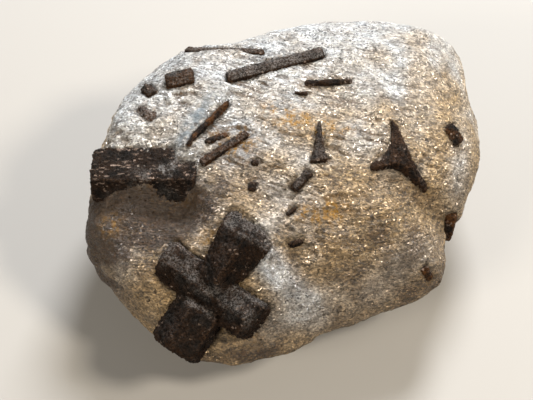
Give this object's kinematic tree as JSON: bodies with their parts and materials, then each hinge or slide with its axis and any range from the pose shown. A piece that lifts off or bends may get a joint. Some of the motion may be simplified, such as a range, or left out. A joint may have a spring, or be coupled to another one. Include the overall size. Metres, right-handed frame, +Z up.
{
  "type": "staurolite specimen",
  "caption": "Hand-sized piece of mica schist with a cross-shaped staurolite twin, a thick prism and smaller staurolite crystals in its broad face.",
  "frame": {"origin": "on the ground, under the middle of the specimen's box", "axes": "+Z up from the resting flat, +X to the right and +Y away from whoever looks at the face with the cross"},
  "size_m": [0.0938, 0.0897, 0.0411],
  "materials": {
    "mica_schist": "natural broken mica schist, silvery with fine glittering flakes",
    "staurolite": "dark brown rough crystal faces with mica specks"
  },
  "bodies": {
    "root": {"back_stub": "staurolite", "companion_prism": "staurolite", "cross_twin": "staurolite", "edge_blade": "staurolite", "grain_1": "staurolite", "grain_2": "staurolite", "grain_3": "staurolite", "grain_4": "staurolite", "grain_5": "staurolite", "grain_6": "staurolite", "left_stub": "staurolite", "long_prism": "staurolite", "notch_crystal": "staurolite", "ridge_blade": "staurolite", "right_stub": "staurolite", "schist_matrix": "mica_schist", "short_prism": "staurolite", "slender_prism": "staurolite", "sliver_blade": "staurolite", "small_wedge": "staurolite", "star_twin": "staurolite", "thick_prism": "staurolite", "worn_stub": "staurolite"}
  },
  "joints": []
}
